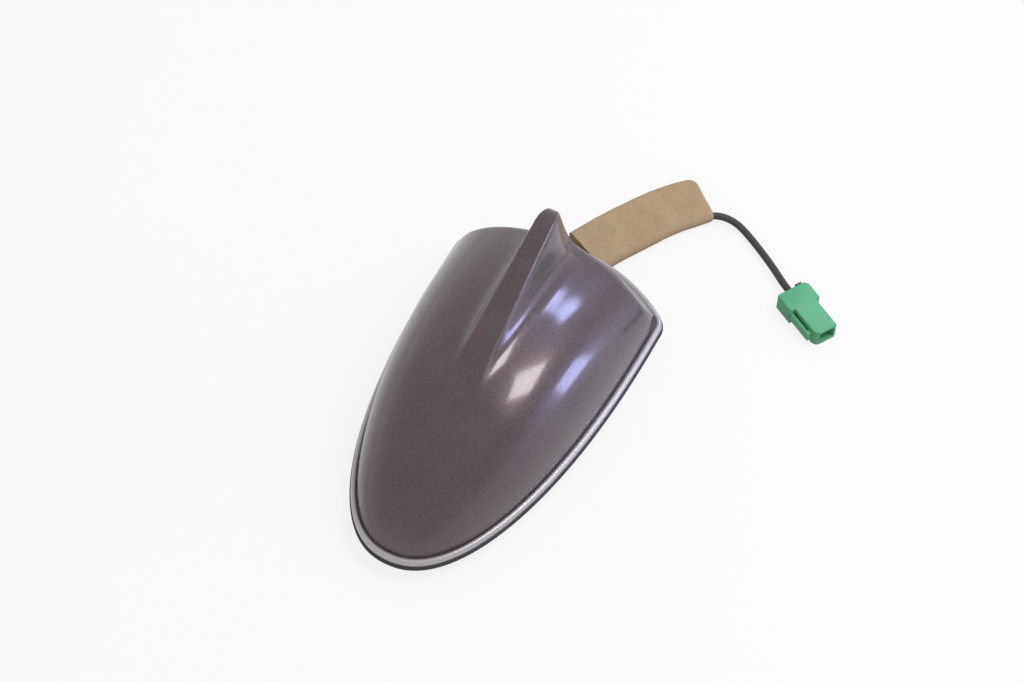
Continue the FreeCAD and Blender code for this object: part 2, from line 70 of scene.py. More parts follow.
class Field:
    """A socket or a number that takes part in shader arithmetic."""

    def __init__(self, shader: "Shader", value: Any) -> None:
        """Keep the shader that new nodes go into and the socket or number itself."""
        self.shader = shader
        self.value = value

    def _math(self, operation: str, first: Any, second: Any) -> "Field":
        """Add one Math node.

        Args:
            operation: The Math node's operation.
            first: The first value or socket.
            second: The second value or socket.

        Returns:
            The node's result.
        """
        node = self.shader.node("ShaderNodeMath", {"operation": operation}, {0: first, 1: second})
        return Field(self.shader, node.outputs[0])

    def __add__(self, other: Any) -> "Field":
        """Add a value."""
        return self._math("ADD", self, other)

    def __radd__(self, other: Any) -> "Field":
        """Add to a value."""
        return self._math("ADD", other, self)

    def __sub__(self, other: Any) -> "Field":
        """Take a value away."""
        return self._math("SUBTRACT", self, other)

    def __rsub__(self, other: Any) -> "Field":
        """Take this away from a value."""
        return self._math("SUBTRACT", other, self)

    def __mul__(self, other: Any) -> "Field":
        """Multiply by a value."""
        return self._math("MULTIPLY", self, other)

    def __rmul__(self, other: Any) -> "Field":
        """Multiply a value."""
        return self._math("MULTIPLY", other, self)


class Shader:
    """One node tree of a material or a world, built through a single node-making method."""

    def __init__(self, owner: Any, output: str) -> None:
        """Start an empty tree with its output node.

        Args:
            owner: The material or world.
            output: The output node's type.
        """
        self.owner = owner
        owner.use_nodes = True
        self.tree = owner.node_tree
        self.tree.nodes.clear()
        self.output = self.tree.nodes.new(output)

    @classmethod
    def for_material(cls, name: str) -> "Shader":
        """Start a new material."""
        return cls(bpy.data.materials.new(name), "ShaderNodeOutputMaterial")

    @classmethod
    def for_world(cls, name: str) -> "Shader":
        """Start a new world."""
        return cls(bpy.data.worlds.new(name), "ShaderNodeOutputWorld")

    def close(self, surface: bpy.types.Node) -> Any:
        """Join the last node to the output and give back the material or world."""
        self.tree.links.new(surface.outputs[0], self.output.inputs["Surface"])
        return self.owner

    def node(self, kind: str, settings: dict[str, Any], inputs: dict[Any, Any]) -> bpy.types.Node:
        """Add a node, its settings first and its sockets after.

        Args:
            kind: The node's type.
            settings: Attributes to set.
            inputs: Values, sockets or fields by socket name or number.

        Returns:
            The new node.
        """
        node = self.tree.nodes.new(kind)
        for key, value in settings.items():
            setattr(node, key, value)
        for key, value in inputs.items():
            if isinstance(value, Field):
                value = value.value
            if isinstance(value, bpy.types.NodeSocket):
                self.tree.links.new(value, node.inputs[key])
            elif isinstance(value, tuple) and len(value) == 3 and node.inputs[key].type == "RGBA":
                node.inputs[key].default_value = (*value, 1.0)
            else:
                node.inputs[key].default_value = value
        return node

    def place(self) -> Field:
        """Give the surface's place in the object's own coordinates."""
        return Field(self, self.node("ShaderNodeTexCoord", {}, {}).outputs["Object"])

    def noise(self, scale: float, detail: float = 3.0, rough: float = 0.5) -> Field:
        """Give smooth noise from 0 to 1.

        Args:
            scale: Cells per metre.
            detail: Octaves.
            rough: How strongly the finer octaves show.

        Returns:
            The noise value.
        """
        sockets = {"Vector": self.place(), "Scale": scale, "Detail": detail, "Roughness": rough}
        return Field(self, self.node("ShaderNodeTexNoise", {}, sockets).outputs["Fac"])

    def cells(self, scale: float) -> tuple[Field, Field]:
        """Give cell noise: a random colour for each cell and the distance to its middle.

        Args:
            scale: Cells per metre.

        Returns:
            The colour and the distance.
        """
        node = self.node("ShaderNodeTexVoronoi", {}, {"Vector": self.place(), "Scale": scale})
        return Field(self, node.outputs["Color"]), Field(self, node.outputs["Distance"])

    def between(self, value: Field, low: float, high: float, to_low: float, to_high: float) -> Field:
        """Map a value from one range to another, held at the ends."""
        sockets = {"Value": value, 1: low, 2: high, 3: to_low, 4: to_high}
        return Field(self, self.node("ShaderNodeMapRange", {}, sockets).outputs[0])

    def mix(self, share: Any, first: Any, second: Any) -> Field:
        """Mix two colours by a share."""
        node = self.node("ShaderNodeMix", {"data_type": "RGBA"}, {0: share, 6: first, 7: second})
        return Field(self, node.outputs[2])

    def bump(self, height: Field, strength: float, depth: float) -> Field:
        """Turn a height into a bumped normal.

        Args:
            height: The height value.
            strength: How much of the bump shows.
            depth: The height's size in metres.

        Returns:
            The normal.
        """
        node = self.node("ShaderNodeBump", {}, {"Strength": strength, "Distance": depth, "Height": height})
        return Field(self, node.outputs["Normal"])

    def finish(self, **sockets: Any) -> bpy.types.Material:
        """Close the material with a Principled surface.

        Args:
            sockets: Socket values by name, with underscores for spaces.

        Returns:
            The finished material.
        """
        inputs = {name.replace("_", " "): value for name, value in sockets.items()}
        return self.close(self.node("ShaderNodeBsdfPrincipled", {}, inputs))


# Finishes


@dataclass(frozen=True)
class FlakePaint:
    """Metallic paint with fine flake under a clear coat: dark for the cover, and a far lighter copy for the
    bead as painted light.
    """

    name: str = "flake_paint"
    dark: Colour = (0.052, 0.037, 0.042)
    light: Colour = (0.150, 0.112, 0.122)
    flake: Colour = (0.36, 0.30, 0.33)
    coat_rough: float = 0.13
    flakes_per_metre: float = 5200.0

    def make(self) -> bpy.types.Material:
        """Build the paint.

        Returns:
            The material.
        """
        shader = Shader.for_material(self.name)
        colour, _ = shader.cells(self.flakes_per_metre)
        parts = shader.node("ShaderNodeSeparateColor", {}, {0: colour})
        glint = Field(shader, parts.outputs[0])
        tone = Field(shader, parts.outputs[1])
        cloud = shader.noise(45.0, 4.0, 0.6)
        base = shader.mix(tone * 0.6 + cloud * 0.4, self.dark, self.light)
        base = shader.mix(shader.between(glint, 0.86, 1.0, 0.0, 0.3), base, self.flake)
        peel = shader.noise(420.0, 2.0, 0.4)
        return shader.finish(
            Base_Color=base,
            Metallic=0.55,
            Roughness=shader.between(cloud, 0.3, 0.7, 0.36, 0.44),
            Coat_Weight=1.0,
            Coat_Roughness=self.coat_rough,
            Normal=shader.bump(peel, 0.05, 0.0002),
        )


@dataclass(frozen=True)
class Moulded:
    """Moulded plastic or rubber with a fine grain."""

    name: str
    dark: Colour
    light: Colour
    rough_low: float = 0.45
    rough_high: float = 0.62
    grain: float = 900.0
    grain_depth: float = 0.00004
    grain_strength: float = 0.35

    def make(self) -> bpy.types.Material:
        """Build the plastic.

        Returns:
            The material.
        """
        shader = Shader.for_material(self.name)
        cloud = shader.noise(120.0, 4.0, 0.6)
        grain = shader.noise(self.grain, 4.0, 0.6)
        return shader.finish(
            Base_Color=shader.mix(cloud * 0.7 + grain * 0.3, self.dark, self.light),
            Roughness=shader.between(grain, 0.3, 0.7, self.rough_low, self.rough_high),
            Normal=shader.bump(grain, self.grain_strength, self.grain_depth),
        )


@dataclass(frozen=True)
class OpenFoam:
    """Tan open-cell foam."""

    name: str = "tan_foam"
    dark: Colour = (0.33, 0.24, 0.135)
    light: Colour = (0.60, 0.455, 0.28)

    def make(self) -> bpy.types.Material:
        """Build the foam.

        Returns:
            The material.
        """
        shader = Shader.for_material(self.name)
        _, pores = shader.cells(1500.0)
        cloud = shader.noise(70.0, 5.0, 0.65)
        fine = shader.noise(1300.0, 3.0, 0.6)
        pits_and_painted_shade = shader.between(shader.noise(900.0, 2.0, 0.5), 0.30, 0.38, 1.0, 0.0)
        base = shader.mix(cloud * 0.55 + fine * 0.45, self.dark, self.light)
        # Painted shade: the pits, which the bump below sinks into the surface, are also darkened in colour.
        base = shader.mix(pits_and_painted_shade * 0.45, base, self.dark)
        height = pores * 0.5 + fine * 0.5 - pits_and_painted_shade * 0.35
        return shader.finish(
            Base_Color=base,
            Roughness=0.95,
            Specular_IOR_Level=0.15,
            Normal=shader.bump(height, 0.6, 0.0004),
        )


@dataclass(frozen=True)
class Metal:
    """Plated or cast metal."""

    name: str
    dark: Colour
    light: Colour
    rough_low: float
    rough_high: float
    grain: float = 700.0
    depth: float = 0.00005

    def make(self) -> bpy.types.Material:
        """Build the metal.

        Returns:
            The material.
        """
        shader = Shader.for_material(self.name)
        grain = shader.noise(self.grain, 5.0, 0.65)
        cloud = shader.noise(60.0, 3.0, 0.5)
        return shader.finish(
            Base_Color=shader.mix(cloud * 0.6 + grain * 0.4, self.dark, self.light),
            Metallic=1.0,
            Roughness=shader.between(grain, 0.3, 0.7, self.rough_low, self.rough_high),
            Normal=shader.bump(grain, 0.3, self.depth),
        )


# Mesh tools


def deselect_all() -> None:
    """Leave edit mode and select nothing."""
    if bpy.context.object and bpy.context.object.mode != "OBJECT":
        bpy.ops.object.mode_set(mode="OBJECT")
    bpy.ops.object.select_all(action="DESELECT")


def activate(piece: bpy.types.Object) -> None:
    """Select one object alone and make it active."""
    deselect_all()
    piece.select_set(True)
    bpy.context.view_layer.objects.active = piece


def apply_modifiers(piece: bpy.types.Object) -> None:
    """Apply every modifier of a piece in order."""
    activate(piece)
    for modifier in list(piece.modifiers):
        bpy.ops.object.modifier_apply(modifier=modifier.name)


def select_edges(piece: bpy.types.Object, wanted: Callable[[Vector, Vector], bool]) -> None:
    """Select the edges whose two ends pass a test, and enter edit mode.

    Args:
        piece: The mesh object.
        wanted: Test of an edge's two ends.
    """
    activate(piece)
    bpy.ops.object.mode_set(mode="EDIT")
    bpy.ops.mesh.select_mode(type="EDGE")
    bpy.ops.mesh.select_all(action="DESELECT")
    bpy.ops.object.mode_set(mode="OBJECT")
    mesh = piece.data
    for edge in mesh.edges:
        first, second = (mesh.vertices[index].co for index in edge.vertices)
        edge.select = wanted(first, second)
    bpy.ops.object.mode_set(mode="EDIT")


def select_faces(piece: bpy.types.Object, wanted: Callable[[Vector, Vector], bool]) -> None:
    """Select the faces whose centre and normal pass a test, and enter edit mode.

    Args:
        piece: The mesh object.
        wanted: Test of a face's centre and normal.
    """
    activate(piece)
    bpy.ops.object.mode_set(mode="EDIT")
    bpy.ops.mesh.select_mode(type="FACE")
    bpy.ops.mesh.select_all(action="DESELECT")
    bpy.ops.object.mode_set(mode="OBJECT")
    for polygon in piece.data.polygons:
        polygon.select = wanted(polygon.center, polygon.normal)
    bpy.ops.object.mode_set(mode="EDIT")


def link_mesh(name: str, points: Sequence[Point], faces: Sequence[tuple[int, ...]]) -> bpy.types.Object:
    """Make a mesh object from points and faces and put it in the scene.

    Args:
        name: The object's name.
        points: The mesh's points.
        faces: Point numbers of each face.

    Returns:
        The new object.
    """
    mesh = bpy.data.meshes.new(name)
    mesh.from_pydata(points, [], faces)
    mesh.validate()
    piece = bpy.data.objects.new(name, mesh)
    bpy.context.scene.collection.objects.link(piece)
    return piece


def rows_mesh(name: str, rows: Sequence[Sequence[Point]], ring: RowEnds,
              turned: RowEnds) -> bpy.types.Object:
    """Make one quad mesh from rows of points.

    Args:
        name: The object's name.
        rows: Rows with as many points each.
        ring: Whether each row closes on itself.
        turned: Whether the last row joins the first.

    Returns:
        The new object.
    """
    width = len(rows[0])
    points = [point for row in rows for point in row]
    across = width if ring is RowEnds.CLOSED else width - 1
    along = len(rows) if turned is RowEnds.CLOSED else len(rows) - 1
    faces = []
    for row in range(along):
        after = (row + 1) % len(rows)
        for column in range(across):
            beside = (column + 1) % width
            first = row * width + column
            second = row * width + beside
            third = after * width + beside
            fourth = after * width + column
            faces.append((first, second, third, fourth))
    return link_mesh(name, points, faces)


def shell_mesh(name: str, outer: Sequence[Sequence[Point]],
               inner: Sequence[Sequence[Point]]) -> bpy.types.Object:
    """Make a wall with two faces from two matching grids, closed all round its border.

    Args:
        name: The object's name.
        outer: Rows of the outer face.
        inner: Rows of the inner face, as many and as long.

    Returns:
        The new object.
    """
    height = len(outer)
    width = len(outer[0])
    points = [point for grid in (outer, inner) for row in grid for point in row]

    def index(grid: int, row: int, column: int) -> int:
        """Give a grid point's number."""
        return (grid * height + row) * width + column

    faces = []
    for row in range(height - 1):
        for column in range(width - 1):
            quad = [(row, column), (row, column + 1), (row + 1, column + 1), (row + 1, column)]
            faces.append(tuple(index(0, *corner) for corner in quad))
            faces.append(tuple(index(1, *corner) for corner in reversed(quad)))
    border = [(0, column) for column in range(width - 1)]
    border += [(row, width - 1) for row in range(height - 1)]
    border += [(height - 1, column) for column in range(width - 1, 0, -1)]
    border += [(row, 0) for row in range(height - 1, 0, -1)]
    for first, second in zip(border, border[1:] + border[:1]):
        faces.append((index(0, *second), index(0, *first), index(1, *first), index(1, *second)))
    return link_mesh(name, points, faces)


def merge_and_face_outwards(piece: bpy.types.Object, distance: float = 1e-6) -> None:
    """Merge doubled points and turn every face outwards.

    Args:
        piece: The mesh object.
        distance: Points closer than this become one.
    """
    activate(piece)
    bpy.ops.object.mode_set(mode="EDIT")
    bpy.ops.mesh.select_all(action="SELECT")
    bpy.ops.mesh.remove_doubles(threshold=distance)
    bpy.ops.mesh.normals_make_consistent(inside=False)
    bpy.ops.object.mode_set(mode="OBJECT")


def smooth(piece: bpy.types.Object, degrees: float) -> None:
    """Shade smooth, with edges sharper than an angle kept crisp."""
    activate(piece)
    bpy.ops.object.shade_smooth_by_angle(angle=math.radians(degrees))


def join(pieces: Sequence[bpy.types.Object], name: str) -> bpy.types.Object:
    """Join pieces of one moulding into the first of them.

    Args:
        pieces: The mesh objects.
        name: The joined object's name.

    Returns:
        The joined object.
    """
    deselect_all()
    for piece in pieces:
        piece.select_set(True)
    bpy.context.view_layer.objects.active = pieces[0]
    bpy.ops.object.join()
    pieces[0].name = name
    return pieces[0]


def add_block(name: str, low: Point, high: Point) -> bpy.types.Object:
    """Add a cube primitive between two corners, its place in its mesh.

    Args:
        name: The object's name.
        low: The lowest corner.
        high: The highest corner.

    Returns:
        The new object.
    """
    deselect_all()
    middle = [(first + second) / 2 for first, second in zip(low, high)]
    bpy.ops.mesh.primitive_cube_add(size=1.0, location=middle)
    piece = bpy.context.object
    piece.name = name
    piece.scale = [second - first for first, second in zip(low, high)]
    bpy.ops.object.transform_apply(location=True, rotation=True, scale=True)
    return piece


def bevel(piece: bpy.types.Object, width: float, segments: int, degrees: float = 35.0) -> None:
    """Round a piece's sharp edges by a bevel modifier and apply it.

    Args:
        piece: The mesh object.
        width: The bevel's width.
        segments: Faces across the bevel.
        degrees: Edges that turn more than this are rounded.
    """
    modifier = piece.modifiers.new("round", "BEVEL")
    modifier.width = width
    modifier.segments = segments
    modifier.limit_method = "ANGLE"
    modifier.angle_limit = math.radians(degrees)
    modifier.harden_normals = False
    apply_modifiers(piece)


def dress(piece: bpy.types.Object, material: bpy.types.Material, nodes: Iterable[str]) -> None:
    """Give a new piece its material and body, and hide the solids that it stands for.

    Args:
        piece: The finished piece.
        material: Its material.
        nodes: The solids that it replaces.
    """
    piece.data.materials.clear()
    piece.data.materials.append(material)
    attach(piece, BODY)
    for node in nodes:
        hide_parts(node)
    LOG.info("%s: %d faces", piece.name, len(getattr(piece.data, "polygons", ())))


# Sub-assemblies


@dataclass(frozen=True)
class Plan:
    """The cover's outline seen from above, with distances taken from its nose."""

    length: float = 0.149
    width: float = 0.0854
    widest: float = 0.126
    nose_power: float = 2.25
    nose_root: float = 2.2
    rear_radius: float = 0.065
    corner_radius: float = 0.007
    origin: float = 0.084
    side_steps: int = 40
    corner_steps: int = 8
    rear_steps: int = 28

    def half_width(self, from_nose: float, inset: float) -> float:
        """Give half the width at a distance from the nose, drawn in evenly by inset."""
        share = (from_nose - inset) / (self.widest - inset)
        share = min(1.0, max(0.0, share))
        return (self.width / 2 - inset) * (1 - (1 - share) ** self.nose_power) ** (1 / self.nose_root)

    def right_side(self, inset: float) -> list[tuple[float, float]]:
        """Give the right half of the outline, from the nose to the middle of the rear.

        Args:
            inset: How far the outline is drawn in.

        Returns:
            Places across and from the nose.
        """
        half = self.width / 2 - inset
        corner = max(0.001, self.corner_radius - inset)
        rear = self.rear_radius - inset
        centre = self.length - self.rear_radius
        shares = [(step / self.side_steps) ** self.nose_root for step in range(self.side_steps + 1)]
        stations = [inset + (self.widest - inset) * share for share in shares]
        points = [(self.half_width(station, inset), station) for station in stations]
        corner_across = half - corner
        corner_along = centre + math.sqrt((rear - corner) ** 2 - corner_across ** 2)
        turn = math.atan2(corner_along - centre, corner_across)
        for step in range(self.corner_steps + 1):
            angle = turn * step / self.corner_steps
            across = corner_across + corner * math.cos(angle)
            points.append((across, corner_along + corner * math.sin(angle)))
        for step in range(1, self.rear_steps + 1):
            angle = turn + (math.pi / 2 - turn) * step / self.rear_steps
            points.append((rear * math.cos(angle), centre + rear * math.sin(angle)))
        return points

    def ring(self, inset: float, level: float) -> list[Point]:
        """Give the whole outline at a height as a closed ring of points."""
        right = self.right_side(inset)
        left = [(-across, along) for across, along in reversed(right[1:-1])]
        return [(across, along - self.origin, level) for across, along in right + left]


@dataclass
class Cover:
    """The painted cover: domed skin with its fin, and the bead round its foot."""

    plan: Plan = field(default_factory=Plan)
    rim: float = 0.0074
    lip_height: float = 0.0023
    ledge: float = 0.0024
    wall: float = 0.0020
    crest_rise: float = 0.0556
    crest_power: float = 0.6
    side_power: float = 3.4
    rear_foot_slope: float = 0.73
    rear_tip_lean: float = 0.0207
    rear_foot_shift: float = 0.0006
    corner_from_nose: float = 0.1245
    corner_sweep: float = 0.019
    fin_start: float = 0.052
    fin_tip: float = 0.123
    fin_rise: float = 0.0261
    fin_rise_power: float = 1.6
    fin_front_width: float = 0.010
    fin_tip_width: float = 0.006
    fin_edge_reach: float = 0.0024
    fin_edge_power: float = 2.2
    fin_root_reach: float = 0.009
    tip_round_start: float = 0.118
    tip_round_radius: float = 0.009
    tip_narrowing: float = 0.2
    rear_edge_round: float = 0.0022
    rear_edge_steps: int = 7
    nose_start: float = 0.0005
    halvings: int = 50
    row_count: int = 120
    side_columns: int = 26
    wall_columns: int = 18
    strip_columns: int = 4
    rear_rows: int = 16

    def _fin_share(self, from_nose: float) -> float:
        """Give how far along the fin a place is, 0 at its front and 1 at its tip."""
        return max(0.0, (from_nose - self.fin_start) / (self.fin_tip - self.fin_start))

    def _half(self, from_nose: float) -> float:
        """Give half the skin's width at its foot."""
        past = max(0.0, from_nose - self.corner_from_nose)
        sweep = math.hypot(past, self.corner_sweep) - self.corner_sweep
        return self.plan.half_width(from_nose, self.ledge) - sweep

    def _strip(self, from_nose: float) -> float:
        """Give half the width of the flat strip along the fin's top."""
        share = min(1.0, self._fin_share(from_nose))
        strip = (self.fin_front_width + (self.fin_tip_width - self.fin_front_width) * share) / 2
        past_tip = max(0.0, from_nose - self.tip_round_start) / self.tip_round_radius
        strip *= math.sqrt(max(self.tip_narrowing, 1 - past_tip ** 2))
        return min(strip, 0.25 * self._half(from_nose))

    def level(self, across: float, from_nose: float) -> float:
        """Give the skin's height at a place.

        Args:
            across: Distance from the middle plane.
            from_nose: Distance from the nose.

        Returns:
            The height in the part's frame.
        """
        share = max(0.0, from_nose - self.ledge) / (self.fin_tip - self.ledge)
        rise = self.fin_rise * self._fin_share(from_nose) ** self.fin_rise_power
        dome = self.crest_rise * share ** self.crest_power - rise
        past_tip = max(0.0, from_nose - self.tip_round_start)
        rise = max(0.0, rise - past_tip ** 2 / (2 * self.tip_round_radius))
        side = math.sqrt(max(0.0, 1 - (across / self._half(from_nose)) ** self.side_power))
        beyond = max(0.0, across - self._strip(from_nose)) / self.fin_edge_reach
        return self.rim + (dome + rise / (1 + beyond ** self.fin_edge_power)) * side

    def _across(self, column: int, from_nose: float) -> float:
        """Give a column's distance from the middle plane at a place, for columns on the right side.

        Args:
            column: The column's number, from the middle.
            from_nose: Distance from the nose.

        Returns:
            The distance across.
        """
        half = self._half(from_nose)
        strip = self._strip(from_nose)
        foot = min(strip + self.fin_root_reach, 0.6 * half)
        if column <= self.strip_columns:
            return strip * column / self.strip_columns
        column -= self.strip_columns
        if column <= self.wall_columns:
            return strip + (foot - strip) * (column / self.wall_columns) ** 1.8
        column -= self.wall_columns
        first = math.asin((foot / half) ** (self.side_power / 2))
        turn = first + (math.pi / 2 - first) * column / self.side_columns
        return half * math.sin(turn) ** (2 / self.side_power)

    def _rear_along(self, across: float, level: float) -> float:
        """Give the curved rear face's distance from the nose at a place across and a height.

        Args:
            across: Distance from the middle plane.
            level: Height in the part's frame.

        Returns:
            The distance from the nose.
        """
        tip_height = self.crest_rise - self.lip_height
        bend = (self.rear_foot_slope * tip_height - self.rear_tip_lean) / tip_height ** 2
        height = max(0.0, level - self.rim - self.lip_height)
        lean = self.rear_foot_slope * height - bend * height ** 2
        radius = self.plan.rear_radius - self.ledge
        drop = radius - math.sqrt(radius ** 2 - across ** 2)
        return self.plan.length - self.ledge + self.rear_foot_shift - drop - lean

    def _rear_edge(self, column: int) -> float:
        """Find where a column meets the rear face, by halving.

        Args:
            column: The column's number, from the middle.

        Returns:
            The distance from the nose.
        """
        low = self.ledge + 2 * self.nose_start
        high = self.plan.length + self.nose_start
        for _ in range(self.halvings):
            middle = (low + high) / 2
            across = self._across(column, middle)
            if middle < self._rear_along(across, self.level(across, middle)):
                low = middle
            else:
                high = middle
        return low

    def _column(self, column: int) -> list[Point]:
        """Give one column of the skin, from the nose over the rounded rear edge and down to the rim.

        Args:
            column: The column's number, from the middle.

        Returns:
            The column's points.
        """
        first = self.ledge + self.nose_start
        last = self._rear_edge(column)
        edge_across = self._across(column, last)
        edge = Vector((edge_across, last, self.level(edge_across, last)))
        reach = min(self.rear_edge_round, 0.4 * (edge.z - self.rim))
        rows = []
        for row in range(self.row_count + 1):
            along = first + (last - reach - first) * (1 - math.cos(math.pi * row / self.row_count)) / 2
            across = self._across(column, along)
            rows.append(Vector((across, along, self.level(across, along))))
        low = edge.z - reach
        top = rows[-1]
        foot = Vector((edge.x, self._rear_along(edge.x, low), low))
        for step in range(1, self.rear_edge_steps):
            share = step / self.rear_edge_steps
            rows.append(top * (1 - share) ** 2 + edge * (2 * share * (1 - share)) + foot * share ** 2)
        for row in range(self.rear_rows + 1):
            level = low + (self.rim - low) * row / self.rear_rows
            rows.append(Vector((edge.x, self._rear_along(edge.x, level), level)))
        return [(spot.x, spot.y - self.plan.origin, spot.z) for spot in rows]

    def skin(self) -> bpy.types.Object:
        """Make the skin with its rounded rear edge and its wall.

        Returns:
            The new object.
        """
        count = self.strip_columns + self.wall_columns + self.side_columns
        right = [self._column(column) for column in range(count + 1)]
        left = [[(-x, y, z) for x, y, z in column] for column in reversed(right[1:])]
        columns = list(reversed(left + right))
        inner = [[self._inner(spot) for spot in column] for column in columns]
        piece = shell_mesh("skin", columns, inner)
        merge_and_face_outwards(piece)
        return piece

    def _inner(self, spot: Point) -> Point:
        """Give the inner wall's point under a point of the skin.

        Args:
            spot: A point of the skin.

        Returns:
            The point of the inner wall.
        """
        across, along, level = spot
        middle = self.plan.length / 2 - self.plan.origin
        share = 1 - 2 * self.wall / self.plan.width
        long_share = 1 - 2 * self.wall / self.plan.length
        inner_along = middle + (along - middle) * long_share
        return (across * share, inner_along, self.rim + (level - self.rim) * share)

    def bead(self) -> bpy.types.Object:
        """Make the rounded bead that runs round the foot of the skin.

        Returns:
            The new object.
        """
        height = self.lip_height
        section = [(0.0, 0.0), (0.0, 0.5 * height)]
        for step in range(1, 9):
            angle = math.pi * step / 9
            inset = self.ledge / 2 * (1 - math.cos(angle))
            section.append((inset, 0.5 * height * (1 + math.sin(angle))))
        hidden = 1.5 * self.ledge
        section += [(self.ledge, 0.62 * height), (hidden, 0.4 * height), (hidden, 0.0)]
        rows = [self.plan.ring(inset, self.rim + level) for inset, level in section]
        piece = rows_mesh("bead", rows, RowEnds.CLOSED, RowEnds.CLOSED)
        merge_and_face_outwards(piece)
        return piece

    def build(self) -> tuple[bpy.types.Object, bpy.types.Object]:
        """Make the moulding's two shown pieces: the domed skin and the bead round its foot.

        Returns:
            The skin and the bead.
        """
        skin = self.skin()
        skin.name = "painted_cover"
        smooth(skin, 50.0)
        bead = self.bead()
        bead.name = "cover_bead"
        smooth(bead, 50.0)
        return skin, bead


@dataclass
class RoofRing:
    """The rubber ring under the cover's bead."""

    plan: Plan = field(default_factory=Plan)
    bottom: float = 0.005
    height: float = 0.0024
    reveal: float = 0.0005
    width: float = 0.013
    edge: float = 0.0005

    def build(self) -> bpy.types.Object:
        """Make the ring with a soft outer edge.

        Returns:
            The new object.
        """
        top = self.bottom + self.height
        outer = -self.reveal
        section = [
            (outer + self.edge, self.bottom),
            (outer, self.bottom + self.edge),
            (outer, top - self.edge),
            (outer + 0.3 * self.edge, top - 0.3 * self.edge),
            (outer + self.edge, top),
            (self.width, top),
            (self.width, self.bottom),
        ]
        rows = [self.plan.ring(inset, level) for inset, level in section]
        piece = rows_mesh("rubber_ring", rows, RowEnds.CLOSED, RowEnds.CLOSED)
        merge_and_face_outwards(piece)
        smooth(piece, 35.0)
        return piece


